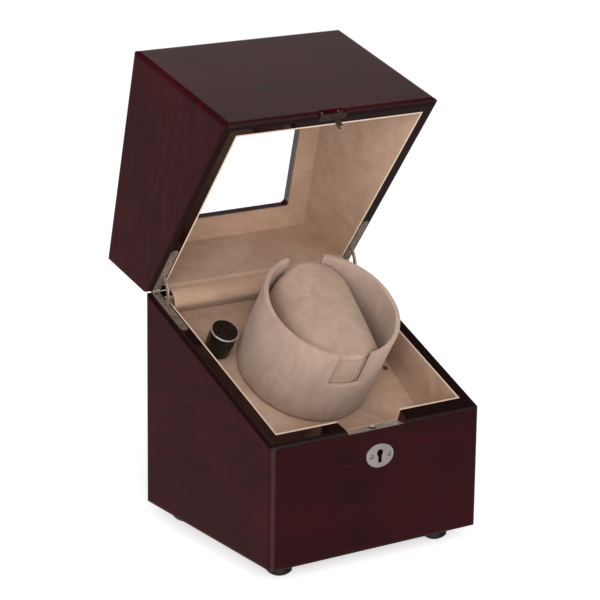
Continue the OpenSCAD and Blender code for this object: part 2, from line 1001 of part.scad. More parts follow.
function tooth_points(rp, a) =
    let (
        root = rp - 1.25 * gear_m,
        tip = rp + gear_m,
        foot = max(root + 0.05, rp * cos(pressure)),
        radii = [for (i = [0 : 3]) foot + (tip - foot) * i / 3]
    )
    concat(
        [polar(root, a - tooth_half(rp, foot))],
        [for (r = radii) polar(r, a - tooth_half(rp, r))],
        [for (i = [3 : -1 : 0]) polar(radii[i], a + tooth_half(rp, radii[i]))],
        [polar(root, a + tooth_half(rp, foot))]
    );

module gear_outline(teeth, turn) {
    polygon([
        for (i = [0 : teeth - 1]) each tooth_points(gear_m * teeth / 2, turn + i * 360 / teeth)
    ]);
}

module drive_gear() {
    color([0.9, 0.9, 0.86]) at_cup() difference() {
        union() {
            translate([0, 0, gear_z]) linear_extrude(gear_t) gear_outline(drive_teeth, 0);
            rod(gear_hub_r, gear_z, gear_z + 10);
        }
        rod(spindle_r, gear_z - 1, 0);
    }
}

module motor_pinion() {
    color([0.85, 0.75, 0.45]) deck_frame() translate([motor_at.x, motor_at.y, 0]) {
        translate([0, 0, pinion_z]) linear_extrude(pinion_t)
            gear_outline(pinion_teeth, 180 / pinion_teeth);
        rod(shaft_r, frame_z - 6, pinion_z + pinion_t + 1);
    }
}

module motor_screw_places() {
    for (side = [-1, 1]) {
        translate([motor_at.x + side * 11, motor_at.y, frame_z]) children();
    }
}

module mechanism_frame() {
    low = [cup_at.x - 35, cup_at.y - 50, frame_z];
    high = [cup_at.x + 35, cup_at.y + 20, frame_z + frame_t];
    color([0.3, 0.32, 0.34]) deck_frame() difference() {
        union() {
            block(low, high);
            for (p = posts) {
                translate([p.x, p.y, 0]) {
                    rod(post_r, frame_z, -deck_t);
                    rod(1.5, -deck_t - e, -1.5);
                }
            }
        }
        translate([cup_at.x, cup_at.y, 0]) rod(spindle_r + bush_clear, frame_z - 1, frame_z + 4);
        translate([motor_at.x, motor_at.y, 0]) rod(4, frame_z - 1, frame_z + 4);
        motor_screw_places() rod(1.3, -1, 4);
    }
}

module gear_motor() {
    color([0.72, 0.72, 0.7]) deck_frame() difference() {
        translate([motor_at.x, motor_at.y, 0]) {
            rod(4, frame_z - e, frame_z + frame_t);
            rod(15, frame_z - 10, frame_z);
            rod(12.2, frame_z - 32, frame_z - 10 + e);
            rod(6, frame_z - 34, frame_z - 32 + e);
        }
        translate([motor_at.x, motor_at.y, 0]) rod(shaft_r + bush_clear, frame_z - 7, 0);
        motor_screw_places() rod(1.3, -5, 1);
    }
}

module motor_screws() {
    color([0.6, 0.6, 0.6]) deck_frame() motor_screw_places() {
        rod(1.3, -5, frame_t);
        difference() {
            rod(2.4, frame_t, frame_t + 1.6);
            for (a = [0, 90]) {
                translate([0, 0, frame_t + 1.6]) rotate([0, 0, a]) slot_cut(3.4, 0.6, 0.8);
            }
        }
    }
}

// ---- cushion ----

module cushion_profile() {
    w = cushion_w;
    round_poly([
        [-w / 2, cushion_low], [w / 2, cushion_low], [w / 2, cushion_top], [-w / 2, cushion_top]
    ], cushion_round);
}

module watch_cushion() {
    color([0.74, 0.62, 0.51]) at_cup() intersection() {
        rotate([0, 0, cup_turn]) along_y(-cup_r, 2 * cup_r) cushion_profile();
        rod(cup_r - cup_wall - cushion_clear, 0, 100);
    }
}

// ---- power and control ----

module inlet_frame() {
    translate(inlet_at) rotate([-90, 0, 0]) children();
}

module power_inlet() {
    color([0.1, 0.1, 0.1]) inlet_frame() {
        difference() {
            union() {
                rod(6, 0, 1.6);
                rod(4, -18, e);
                translate([0, 0, -wall - 2.5]) cylinder(r = 6.5, h = 2.5, $fn = 6);
            }
            rod(2.8, -12, 3);
        }
        rod(1, -12 - e, 0.4);
    }
}

module standoff_places() {
    for (x = [-1, 1], y = [-1, 1]) {
        translate(board_at + [x * (board_size.x / 2 - 4), y * (board_size.y / 2 - 4), 0]) children();
    }
}

module circuit_board() {
    top = standoff_h + board_size.z;
    color([0.1, 0.35, 0.2]) {
        difference() {
            translate(board_at + [-board_size.x / 2, -board_size.y / 2, standoff_h]) cube(board_size);
            standoff_places() rod(1.2, 0, 10);
        }
        // Stand-offs with their screws, and the parts on the board
        standoff_places() {
            difference() {
                rod(3, 0, standoff_h);
                rod(1.2, -1, 10);
            }
            rod(1.2, -6, top);
            rod(2.2, top, top + 1.4);
        }
        translate(board_at + [0, 0, top - e]) {
            block([-8, -9, 0], [4, 3, 2.2]);
            translate([11, 6, 0]) cylinder(r = 4, h = 9);
            translate([11, -10, 0]) cylinder(r = 3, h = 7);
            for (p = [[-9, 20], [2, 20], [13, 20]]) {
                block([p.x - 4, p.y - 3, 0], [p.x + 4, p.y + 3, 6]);
            }
        }
    }
}

// A lead that follows straight runs with round bends
module lead(path) {
    for (i = [0 : len(path) - 2]) {
        run = path[i + 1] - path[i];
        turn = atan2(run.y, run.x);
        tilt = acos(run.z / norm(run));
        translate(path[i]) rotate([0, tilt, turn]) cylinder(r = lead_r, h = norm(run));
        if (i > 0) {
            translate(path[i]) sphere(lead_r + 0.1);
        }
    }
}

function deck_point(p) = [
    p.x,
    p.y * cos(deck_slope) - p.z * sin(deck_slope),
    deck_mid_z + p.y * sin(deck_slope) + p.z * cos(deck_slope)
];

module wiring() {
    plug_z = board_at.z + standoff_h + board_size.z + 6 - e;
    plug_y = board_at.y + 20;
    motor_end = deck_point([motor_at.x, motor_at.y, frame_z - 34]);
    motor_out = deck_point([motor_at.x, motor_at.y, frame_z - 38]);
    switch_end = deck_point([knob_at.x - 6, knob_at.y + 5, -deck_t - switch_t]);
    switch_out = deck_point([knob_at.x - 6, knob_at.y + 5, -deck_t - switch_t - 20]);
    inlet_end = inlet_at - [0, 18, 0];
    color([0.12, 0.12, 0.12]) {
        lead([
            motor_end, motor_out, [-20, plug_y + 6, 36],
            [board_at.x + 13, plug_y, 36], [board_at.x + 13, plug_y, plug_z]
        ]);
        lead([inlet_end, inlet_end - [0, 6, 0], [board_at.x + 2, plug_y, 44], [board_at.x + 2, plug_y, plug_z]]);
        lead([switch_end, switch_out, [board_at.x - 9, plug_y, 60], [board_at.x - 9, plug_y, plug_z]]);
    }
}

base_left_panel();
base_right_panel();
base_front_panel();
base_back_panel();
base_bottom_panel();
base_lining_left();
base_lining_right();
base_lining_front();
base_lining_back();
lining_flap();
lid_left_panel();
lid_right_panel();
lid_front_panel();
lid_back_panel();
lid_top_panel();
lid_lining_left();
lid_lining_right();
lid_lining_front();
lid_lining_back();
lid_lining_top();
window_pane();
feet();
deck_panel();
deck_rails();
deck_screws();
hinge_base_leaf_left();
hinge_base_leaf_right();
hinge_lid_leaf_left();
hinge_lid_leaf_right();
hinge_pins();
stay_arm_left();
stay_arm_right();
hinge_base_screws();
hinge_lid_screws();
lock_case();
lock_plate();
lock_bolt();
escutcheon();
escutcheon_pins();
lid_catch();
lid_catch_screws();
control_knob();
knob_ring();
switch_shaft();
rotary_switch();
cup_shell();
cup_floor();
cup_screw();
spindle();
drive_gear();
spindle_clip();
spindle_bush();
watch_cushion();
mechanism_frame();
gear_motor();
motor_screws();
motor_pinion();
circuit_board();
power_inlet();
wiring();
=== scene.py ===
import json
import math

import bmesh
import bpy
from mathutils import Matrix, Vector, noise


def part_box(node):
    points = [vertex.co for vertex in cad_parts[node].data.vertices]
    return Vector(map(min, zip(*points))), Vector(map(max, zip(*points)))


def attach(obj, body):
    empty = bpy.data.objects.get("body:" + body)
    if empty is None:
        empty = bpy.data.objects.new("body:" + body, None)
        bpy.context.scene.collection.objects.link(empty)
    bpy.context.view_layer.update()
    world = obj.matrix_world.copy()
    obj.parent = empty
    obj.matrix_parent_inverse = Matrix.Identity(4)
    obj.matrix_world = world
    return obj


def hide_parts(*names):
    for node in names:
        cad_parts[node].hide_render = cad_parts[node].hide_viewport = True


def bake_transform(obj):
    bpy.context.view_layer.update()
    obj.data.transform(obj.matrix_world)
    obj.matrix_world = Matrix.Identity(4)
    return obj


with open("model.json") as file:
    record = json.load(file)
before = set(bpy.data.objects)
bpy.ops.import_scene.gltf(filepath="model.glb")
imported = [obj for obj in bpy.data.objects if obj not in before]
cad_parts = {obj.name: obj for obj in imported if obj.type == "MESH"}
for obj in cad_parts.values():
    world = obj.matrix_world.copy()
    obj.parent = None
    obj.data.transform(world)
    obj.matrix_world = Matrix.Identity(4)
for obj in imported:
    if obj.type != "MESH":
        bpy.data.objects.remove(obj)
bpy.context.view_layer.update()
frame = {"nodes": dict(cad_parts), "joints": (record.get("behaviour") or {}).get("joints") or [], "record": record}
scene = bpy.context.scene
nodes = frame["nodes"]
joints = {j["name"]: j for j in frame["joints"]}

MM = 0.001

# Sizes that part.scad also holds, in millimetres and degrees
LID_OPEN = 76
CASE_D, FRONT_H, BACK_H = 156.5, 85.5, 151.6
RIM_SLOPE = math.degrees(math.atan2(BACK_H - FRONT_H, CASE_D))
CUP_R, CUP_WALL, CUP_LOW, CUP_TOP = 47.5, 3.2, 2, 64.5
CUP_TURN, NOTCH_FLOOR = -8, 36.5
NOTCHES = ((-90, 25), (94, 28.5))
SEAM_AT = -153.4
CUSHION_LOW, CUSHION_TOP = 12, 62
FLAP_AT, FLAP_R = (66.9, 154.1), 9.5
FLAP_LID_EDGE, FLAP_BASE_EDGE = (69.1, 166.0), (67.55, 146.0)

# Camera: azimuth, elevation and roll in degrees, place in metres
CAMERA_TURN = (-33.882, 15.925, 0.749)
CAMERA_AT = (-0.94808, -1.39739, 0.64291)
CAMERA_LENS = 158.643


# ---- camera, light and floor ----

def camera():
    azimuth, elevation, roll = (math.radians(v) for v in CAMERA_TURN)
    right = Vector((math.cos(azimuth), math.sin(azimuth), 0))
    back = Vector((
        math.sin(azimuth) * math.cos(elevation),
        -math.cos(azimuth) * math.cos(elevation),
        math.sin(elevation),
    ))
    up = back.cross(right)
    x = right * math.cos(roll) + up * math.sin(roll)
    y = up * math.cos(roll) - right * math.sin(roll)
    data = bpy.data.cameras.new("camera")
    data.sensor_width = 36
    data.lens = CAMERA_LENS
    data.clip_start = 0.05
    cam = bpy.data.objects.new("camera", data)
    pose = Matrix((x, y, back)).transposed().to_4x4()
    pose.translation = Vector(CAMERA_AT)
    cam.matrix_world = pose
    scene.collection.objects.link(cam)
    scene.camera = cam


def area_light(name, at, to, size, power):
    data = bpy.data.lights.new(name, "AREA")
    data.shape = "RECTANGLE"
    data.size, data.size_y = size
    data.energy = power
    lamp = bpy.data.objects.new(name, data)
    lamp.location = at
    lamp.rotation_euler = (Vector(to) - Vector(at)).to_track_quat("-Z", "Y").to_euler()
    scene.collection.objects.link(lamp)


def studio_world():
    """White behind the object. What lights and mirrors in it is dim, with a bright backdrop on one side."""
    world = bpy.data.worlds.new("studio")
    world.use_nodes = True
    tree = world.node_tree
    tree.nodes.clear()
    coords = tree.nodes.new("ShaderNodeTexCoord")
    height = tree.nodes.new("ShaderNodeSeparateXYZ")
    tree.links.new(coords.outputs["Generated"], height.inputs[0])

    def glow(towards, stops):
        facing = tree.nodes.new("ShaderNodeVectorMath")
        facing.operation = "DOT_PRODUCT"
        facing.inputs[1].default_value = towards
        tree.links.new(coords.outputs["Generated"], facing.inputs[0])
        return tones(tree, facing.outputs["Value"], [(at, (v, v, v)) for at, v in stops])

    levels = [(0.0, 0.17), (0.12, 0.12), (0.8, 0.05), (1.0, 0.3)]
    room = tones(tree, height.outputs["Z"], [(at, (v, v, v)) for at, v in levels])
    backdrop = glow((0.45, 0.86, 0.25), [(0.88, 0), (0.94, 0.27), (0.98, 0.8)])
    front = glow((-0.45, -0.8, 0.4), [(0.3, 0), (1.0, 1.05)])
    sky = mixed(tree, 1.0, mixed(tree, 1.0, room, backdrop, "ADD"), front, "ADD")
    light = tree.nodes.new("ShaderNodeBackground")
    tree.links.new(sky, light.inputs[0])
    seen = tree.nodes.new("ShaderNodeBackground")
    seen.inputs[0].default_value = (1, 1, 1, 1)
    path = tree.nodes.new("ShaderNodeLightPath")
    mix = tree.nodes.new("ShaderNodeMixShader")
    out = tree.nodes.new("ShaderNodeOutputWorld")
    tree.links.new(path.outputs["Is Camera Ray"], mix.inputs[0])
    tree.links.new(light.outputs[0], mix.inputs[1])
    tree.links.new(seen.outputs[0], mix.inputs[2])
    tree.links.new(mix.outputs[0], out.inputs[0])
    scene.world = world
    scene.view_settings.view_transform = "Standard"


def studio():
    studio_world()
    bpy.ops.mesh.primitive_plane_add(size=12, location=(0, 0, 0))
    floor = bpy.context.object
    floor.name = "floor"
    white, tree, shader = material("floor_white", 0.9)
    shader.inputs["Base Color"].default_value = (0.93, 0.93, 0.93, 1)
    shader.inputs["Emission Color"].default_value = (1, 1, 1, 1)
    shader.inputs["Emission Strength"].default_value = 0.6
    floor.data.materials.append(white)
    floor.visible_glossy = False
    area_light("key", (-1.4, -1.4, 0.8), (0, 0, 0.15), (1.5, 1.2), 20)
    area_light("fill", (0.4, -1.9, 0.7), (0, 0, 0.15), (1.2, 1.2), 8)
    area_light("top", (-0.2, -0.5, 1.9), (0, 0, 0.15), (1.0, 1.0), 5)


# ---- material tools ----

def material(name, roughness, metallic=0.0):
    made = bpy.data.materials.new(name)
    made.use_nodes = True
    shader = made.node_tree.nodes["Principled BSDF"]
    shader.inputs["Roughness"].default_value = roughness
    shader.inputs["Metallic"].default_value = metallic
    return made, made.node_tree, shader


def place(tree, stretch=(1, 1, 1), turn=(0, 0, 0)):
    """Object coordinates, turned and then stretched."""
    coords = tree.nodes.new("ShaderNodeTexCoord")
    turned = tree.nodes.new("ShaderNodeMapping")
    turned.inputs["Rotation"].default_value = [math.radians(v) for v in turn]
    scaled = tree.nodes.new("ShaderNodeMapping")
    scaled.inputs["Scale"].default_value = stretch
    tree.links.new(coords.outputs["Object"], turned.inputs[0])
    tree.links.new(turned.outputs[0], scaled.inputs[0])
    return scaled.outputs[0]


def cloud(tree, at, scale, detail=4.0, roughness=0.5, distortion=0.0):
    node = tree.nodes.new("ShaderNodeTexNoise")
    node.inputs["Scale"].default_value = scale
    node.inputs["Detail"].default_value = detail
    node.inputs["Roughness"].default_value = roughness
    node.inputs["Distortion"].default_value = distortion
    tree.links.new(at, node.inputs["Vector"])
    return node.outputs["Fac"]


def tones(tree, value, stops):
    node = tree.nodes.new("ShaderNodeValToRGB")
    points = node.color_ramp.elements
    while len(points) < len(stops):
        points.new(0.5)
    for point, (position, colour) in zip(points, stops):
        point.position = position
        point.color = (*colour, 1)
    tree.links.new(value, node.inputs[0])
    return node.outputs[0]


def mixed(tree, amount, a, b, blend="MIX"):
    node = tree.nodes.new("ShaderNodeMix")
    node.data_type = "RGBA"
    node.blend_type = blend
    for socket, value in ((node.inputs[0], amount), (node.inputs[6], a), (node.inputs[7], b)):
        if hasattr(value, "links"):
            tree.links.new(value, socket)
        elif isinstance(value, tuple):
            socket.default_value = (*value, 1)
        else:
            socket.default_value = value
    return node.outputs[2]


def spread(tree, value, low, high, to_low, to_high):
    node = tree.nodes.new("ShaderNodeMapRange")
    for i, number in enumerate((low, high, to_low, to_high), start=1):
        node.inputs[i].default_value = number
    tree.links.new(value, node.inputs[0])
    return node.outputs[0]


def relief(tree, shader, height, strength, depth, socket="Normal"):
    node = tree.nodes.new("ShaderNodeBump")
    node.inputs["Strength"].default_value = strength
    node.inputs["Distance"].default_value = depth
    tree.links.new(height, node.inputs["Height"])
    tree.links.new(node.outputs[0], shader.inputs[socket])


def above_plane(tree, point, normal, band):
    """1 within band of the plane through point, and beyond it along normal; 0 well below it."""
    coords = tree.nodes.new("ShaderNodeTexCoord")
    dot = tree.nodes.new("ShaderNodeVectorMath")
    dot.operation = "DOT_PRODUCT"
    dot.inputs[1].default_value = normal
    tree.links.new(coords.outputs["Object"], dot.inputs[0])
    level = Vector(point).dot(Vector(normal))
    return spread(tree, dot.outputs["Value"], level - 2 * band, level - band, 0, 1)


# ---- materials ----

PIVOT = Vector(joints["lid_hinge"]["pos_m"])
RIM_NORMAL = Matrix.Rotation(math.radians(RIM_SLOPE), 3, "X") @ Vector((0, 0, 1))
RIM_POINT = PIVOT - RIM_NORMAL * 1.2 * MM
LID_RIM_NORMAL = Matrix.Rotation(math.radians(-LID_OPEN), 3, "X") @ -RIM_NORMAL
LID_RIM_POINT = PIVOT + LID_RIM_NORMAL * 0.4 * MM
FRONT = Vector((0, -1, 0))
LID_FRONT = Matrix.Rotation(math.radians(-LID_OPEN), 3, "X") @ FRONT
FRONT_POINT = FRONT * CASE_D / 2 * MM
LID_FRONT_POINT = PIVOT + LID_FRONT * (PIVOT.y + CASE_D / 2 * MM)


def lacquer(name, turn, rim, front, front_shading):
    """Stained wood under gloss lacquer. The dark band along the rim is painted shade; the front face is multiplied
    by the last argument, which paints shade on the base front and light on the lid front.
    """
    made, tree, shader = material(name, 0.42)
    grain = cloud(tree, place(tree, (9, 9, 150), turn), 1.0, 8, 0.62, 0.6)
    flecks = cloud(tree, place(tree, (26, 26, 420), turn), 1.0, 5, 0.7)
    patch = cloud(tree, place(tree, (1, 1, 1), turn), 16, 3, 0.5)
    wood = tones(tree, grain, [
        (0.3, (0.023, 0.0010, 0.0022)), (0.5, (0.031, 0.0014, 0.0030)), (0.72, (0.042, 0.0018, 0.0038))
    ])
    streaks = tones(tree, flecks, [(0.4, (0.7, 0.7, 0.7)), (0.66, (1.15, 1.15, 1.15))])
    wood = mixed(tree, 1.0, wood, streaks, "MULTIPLY")
    redder = spread(tree, patch, 0.45, 0.8, 0, 0.5)
    wood = mixed(tree, redder, wood, (0.060, 0.003, 0.006))
    # Front face multiplied by the last argument: painted shade on the base front (0.62), painted light on the lid
    # front (1.15).
    wood = mixed(tree, above_plane(tree, *front, 1.2 * MM), wood, (front_shading, front_shading, front_shading), "MULTIPLY")
    # Near-black band along the rim plane: painted shade.
    painted_edge_shading = above_plane(tree, *rim, 1.6 * MM)
    wood = mixed(tree, painted_edge_shading, wood, (0.008, 0.0012, 0.0016))
    tree.links.new(wood, shader.inputs["Base Color"])
    shader.inputs["Specular IOR Level"].default_value = 0.0
    shader.inputs["Coat Weight"].default_value = 1.0
    shader.inputs["Coat Roughness"].default_value = 0.06
    shader.inputs["Coat IOR"].default_value = 1.5
    relief(tree, shader, cloud(tree, place(tree), 140, 2), 0.05, 0.0004, "Coat Normal")
    relief(tree, shader, grain, 0.06, 0.0002)
    return made


def suede(name, dark, light, painted_edge_shading=None, brush=(60, 60, 60), turn=(0, 0, 0), nap_low=0.86):
    made, tree, shader = material(name, 0.95)
    body = cloud(tree, place(tree), 17, 4, 0.55, 0.4)
    strokes = cloud(tree, place(tree, brush, turn), 1.0, 5, 0.6, 1.2)
    fibres = cloud(tree, place(tree), 1500, 3, 0.7)
    colour = tones(tree, body, [(0.36, dark), (0.64, light)])
    nap = tones(tree, strokes, [(0.34, (nap_low, nap_low, nap_low)), (0.62, (1.08, 1.08, 1.09))])
    colour = mixed(tree, 0.8, colour, nap, "MULTIPLY")
    pile = tones(tree, fibres, [(0.3, (0.86, 0.86, 0.86)), (0.7, (1.1, 1.1, 1.1))])
    colour = mixed(tree, 0.7, colour, pile, "MULTIPLY")
    # Lighter cream band along the lining's top at the rim plane: painted highlight.
    if painted_edge_shading:
        colour = mixed(tree, above_plane(tree, *painted_edge_shading, 0.25 * MM), colour, (0.60, 0.46, 0.35))
    tree.links.new(colour, shader.inputs["Base Color"])
    shader.inputs["Specular IOR Level"].default_value = 0.15
    shader.inputs["Sheen Weight"].default_value = 0.12
    shader.inputs["Sheen Roughness"].default_value = 0.5
    height = mixed(tree, 0.35, fibres, strokes)
    relief(tree, shader, height, 0.45, 0.0005)
    return made


def metal(name, colour, roughness, brush=(900, 900, 900), depth=0.03, metallic=0.6):
    made, tree, shader = material(name, roughness, metallic)
    lines = cloud(tree, place(tree, brush), 1.0, 3, 0.5)
    wear = cloud(tree, place(tree), 120, 3, 0.5)
    dark = tuple(c * 0.84 for c in colour)
    tree.links.new(tones(tree, wear, [(0.35, dark), (0.6, colour)]), shader.inputs["Base Color"])
    rough = spread(tree, lines, 0.3, 0.7, roughness * 0.85, roughness * 1.15)
    tree.links.new(rough, shader.inputs["Roughness"])
    relief(tree, shader, lines, depth, 0.0001)
    return made


def moulded(name, colour, roughness, coat=0.0, grain=700, depth=0.1):
    made, tree, shader = material(name, roughness)
    fine = cloud(tree, place(tree), grain, 3, 0.6)
    soft = cloud(tree, place(tree), 45, 3, 0.5)
    dark = tuple(c * 0.8 for c in colour)
    tree.links.new(tones(tree, soft, [(0.35, dark), (0.65, colour)]), shader.inputs["Base Color"])
    rough = spread(tree, fine, 0.3, 0.7, roughness * 0.8, roughness * 1.25)
    tree.links.new(rough, shader.inputs["Roughness"])
    shader.inputs["Specular IOR Level"].default_value = 0.3
    shader.inputs["Coat Weight"].default_value = coat
    shader.inputs["Coat Roughness"].default_value = 0.05
    relief(tree, shader, fine, depth, 0.0001)
    return made


def plain_wood(name):
    made, tree, shader = material(name, 0.7)
    grain = cloud(tree, place(tree, (300, 14, 300)), 1.0, 7, 0.6, 0.5)
    colours = [(0.3, (0.30, 0.17, 0.085)), (0.55, (0.50, 0.33, 0.19)), (0.8, (0.60, 0.43, 0.27))]
    tree.links.new(tones(tree, grain, colours), shader.inputs["Base Color"])
    relief(tree, shader, grain, 0.3, 0.0003)
    return made


def window():
    made, tree, shader = material("window_clear", 0.0)
    smear = cloud(tree, place(tree), 30, 3)
    tree.links.new(spread(tree, smear, 0.4, 0.9, 0.0, 0.02), shader.inputs["Roughness"])
    tint = tones(tree, smear, [(0.2, (0.985, 0.99, 0.99)), (0.8, (1, 1, 1))])
    tree.links.new(tint, shader.inputs["Base Color"])
    shader.inputs["Transmission Weight"].default_value = 1
    shader.inputs["IOR"].default_value = 1.12
    return made


LINING_DARK, LINING_LIGHT = (0.41, 0.255, 0.170), (0.54, 0.375, 0.275)


def make_materials():
    lid_turn = (LID_OPEN, 0, 0)
    base_rim_shading_plane = (RIM_POINT, RIM_NORMAL)
    lid_rim_shading_plane = (LID_RIM_POINT, LID_RIM_NORMAL)
    return {
        # Besides grain direction and rim plane, the two copies differ by painted shade on the base front and
        # painted light on the lid front.
        "lacquered_wood": lacquer("lacquer_base", (0, 0, 0), base_rim_shading_plane, (FRONT_POINT, FRONT), 0.62),
        "lacquered_wood_lid": lacquer(
            "lacquer_lid", lid_turn, lid_rim_shading_plane, (LID_FRONT_POINT, LID_FRONT), 1.15
        ),
        # Near-black steel: painted shade, so the hole in the lock plate reads dark.
        "lock_case": metal("lock_case_steel", (0.03, 0.028, 0.026), 0.6),
        "escutcheon_pins": metal("pin_nickel", (0.20, 0.17, 0.15), 0.35),
        # Dark brown screws of the lid catch: painted shade.
        "lid_catch_screws": metal("shaded_catch_screws", (0.10, 0.075, 0.06), 0.35, metallic=0.8),
        "hinge_base_screws": metal("hinge_screws", (0.27, 0.22, 0.17), 0.3),
        # Dark brown lid catch: painted shade, its nickel sitting in shadow.
        "lid_catch": metal("shaded_catch_nickel", (0.13, 0.095, 0.07), 0.3, metallic=0.8),
        "lining_suede": suede("lining_suede", LINING_DARK, LINING_LIGHT, base_rim_shading_plane),
        # Besides its turned nap, the lid's lining copy is slightly lighter, with lighter nap strokes, than the
        # base's: painted light on the lid's lining.
        "lining_suede_lid": suede(
            "lining_suede_lid", (0.43, 0.27, 0.18), (0.55, 0.385, 0.285), lid_rim_shading_plane,
            (45, 120, 45), lid_turn, 0.92
        ),
        "flap_suede": suede("flap_suede", LINING_DARK, LINING_LIGHT, None, (30, 120, 120)),
        "cup_suede": suede(
            "cup_suede", (0.385, 0.262, 0.200), (0.455, 0.332, 0.262), None,
            (70, 70, 28), (-33, 0, 0), 0.88
        ),
        "cushion_suede": suede(
            "cushion_suede", (0.365, 0.245, 0.178), (0.45, 0.32, 0.242), None, (50, 50, 50)
        ),
        "window_clear": window(),
        "bare_wood": plain_wood("bare_wood"),
        "nickel": metal("nickel", (0.38, 0.305, 0.24), 0.28, metallic=0.65),
        "brushed_nickel": metal("brushed_nickel", (0.45, 0.40, 0.375), 0.24, (120, 2500, 2500), 0.05),
        "chrome_trim": metal("chrome_trim", (0.92, 0.90, 0.88), 0.12, metallic=0.8),
        "steel": metal("steel", (0.50, 0.50, 0.51), 0.32),
        "black_steel": metal("black_steel", (0.16, 0.115, 0.09), 0.4),
        "black_gloss": moulded("black_gloss", (0.005, 0.0045, 0.0045), 0.25, 0.2, 500, 0.0),
        "black_plastic": moulded("black_plastic", (0.025, 0.025, 0.026), 0.5),
        "brass": metal("brass", (0.80, 0.60, 0.30), 0.26),
        "gear_plastic": moulded("gear_plastic", (0.80, 0.79, 0.74), 0.45),
        "painted_frame": moulded("painted_frame", (0.10, 0.105, 0.115), 0.45, 0.3),
        "board": moulded("board", (0.02, 0.14, 0.055), 0.4, 0.3, 300),
        "lead_rubber": moulded("lead_rubber", (0.022, 0.022, 0.023), 0.6),
    }


def dress_nodes(made):
    for part in frame["record"]["subparts"]:
        thing = nodes[part["node"]]
        key = part["material_slot"]
        if part["node"].startswith("lid_") and key + "_lid" in made:
            key += "_lid"
        if part["node"] in made:
            key = part["node"]
        thing.data.materials.clear()
        thing.data.materials.append(made[key])


def soften(name, width):
    """Breaks the sharp edges of a CAD node; its own mesh stays as it is."""
    thing = nodes[name]
    weld = thing.modifiers.new("weld", "WELD")
    weld.merge_threshold = 0.00001
    bevel = thing.modifiers.new("bevel", "BEVEL")
    bevel.width = width * MM
    bevel.segments = 2
    bevel.limit_method = "ANGLE"
    bevel.angle_limit = math.radians(35)
    bevel.use_clamp_overlap = True
    bevel.harden_normals = True


# Bevel of each node whose edges the light catches, in millimetres
SOFT_EDGES = {
    "lock_plate": 0.2, "escutcheon": 0.25, "lid_catch": 0.25,
    "hinge_base_leaf_left": 0.2, "hinge_base_leaf_right": 0.2,
    "hinge_lid_leaf_left": 0.2, "hinge_lid_leaf_right": 0.2,
    "hinge_base_screws": 0.2, "hinge_lid_screws": 0.2, "escutcheon_pins": 0.1,
    "stay_arm_left": 0.2, "stay_arm_right": 0.2, "knob_ring": 0.15, "control_knob": 0.3,
}


# ---- cup ----

def cup_matrix():
    spin = joints["cup_spin"]
    z = Vector(spin["axis"]).normalized()
    x = Vector((1, 0, 0))
    y = z.cross(x)
    m = Matrix((x, y, z)).transposed().to_4x4()
    m.translation = Vector(spin["pos_m"])
    return m


def new_piece(name, verts, faces, made):
    mesh = bpy.data.meshes.new(name)
    mesh.from_pydata(verts, [], faces)
    mesh.validate()
    mesh.materials.append(made)
    thing = bpy.data.objects.new(name, mesh)
    scene.collection.objects.link(thing)
    for face in mesh.polygons:
        face.use_smooth = True
    return thing


def bake_modifiers(thing):
    """Applies every modifier on the piece."""
    bpy.context.view_layer.update()
    graph = bpy.context.evaluated_depsgraph_get()
    mesh = bpy.data.meshes.new_from_object(thing.evaluated_get(graph))
    thing.modifiers.clear()
    thing.data = mesh


def notch_spans():
    """(middle, half width) of each notch, in degrees round the cup."""
    return [(CUP_TURN + turn, math.degrees(math.asin(width / 2 / CUP_R))) for turn, width in NOTCHES]


def apart(a, b):
    return abs((a - b + 180) % 360 - 180)


def ring_angles():
    """Column angles: even steps, plus close ones at the notch sides and at the seam."""
    fixed = [middle + side * half for middle, half in notch_spans() for side in (-1, 1)]
    fixed += [SEAM_AT + step for step in (-1.3, -0.55, 0, 0.55, 1.3)]
    fixed = [a % 360 for a in fixed]
    even = [a for a in range(0, 360, 3) if all(apart(a, f) > 1.2 for f in fixed)]
    return sorted(fixed + even)


def cup_point(angle, height):
    """A point of the cup's outer face, with the seam's groove and the cover's slight unevenness."""
    off = apart(angle, SEAM_AT)
    a = math.radians(angle)
    groove = -0.3 * max(0, 1 - off / 0.6) + (0.16 if 0.5 < off < 1.4 else 0)
    groove *= min(1, max(0, CUP_TOP - 1 - height) / 8)
    ripple = 0.22 * noise.noise(Vector((math.cos(a), math.sin(a), height / 40)) * 2.3)
    r = CUP_R - 0.3 + groove + ripple + 0.25 * (height / CUP_TOP) ** 2
    return Vector((r * math.cos(a), r * math.sin(a), height)) * MM


def cup_shell(made):
    angles = ring_angles()
    n = len(angles)
    heights = [CUP_LOW + (NOTCH_FLOOR - CUP_LOW) * i / 14 for i in range(15)]
    heights += [NOTCH_FLOOR + (CUP_TOP - NOTCH_FLOOR) * i / 12 for i in range(1, 13)]

    def in_notch(i, j):
        middle = angles[i] + ((angles[(i + 1) % n] - angles[i]) % 360) / 2
        high = heights[j] > NOTCH_FLOOR - 0.01
        return high and any(apart(middle, at) < half for at, half in notch_spans())

    verts = [cup_point(a, h) for h in heights for a in angles]
    faces = [
        (j * n + i, j * n + (i + 1) % n, (j + 1) * n + (i + 1) % n, (j + 1) * n + i)
        for j in range(len(heights) - 1)
        for i in range(n)
        if not in_notch(i, j)
    ]
    shell = new_piece("cup_shell_suede", verts, faces, made)
    drop_loose(shell)
    wall = shell.modifiers.new("wall", "SOLIDIFY")
    wall.thickness = (CUP_WALL - 0.2) * MM
    wall.offset = -1
    wall.use_even_offset = True
    bevel = shell.modifiers.new("bevel", "BEVEL")
    bevel.width = 0.7 * MM
    bevel.segments = 3
    bevel.limit_method = "ANGLE"
    bevel.angle_limit = math.radians(50)
    bake_modifiers(shell)
    shell.data.transform(cup_matrix())
    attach(shell, "cup")
    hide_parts("cup_shell")


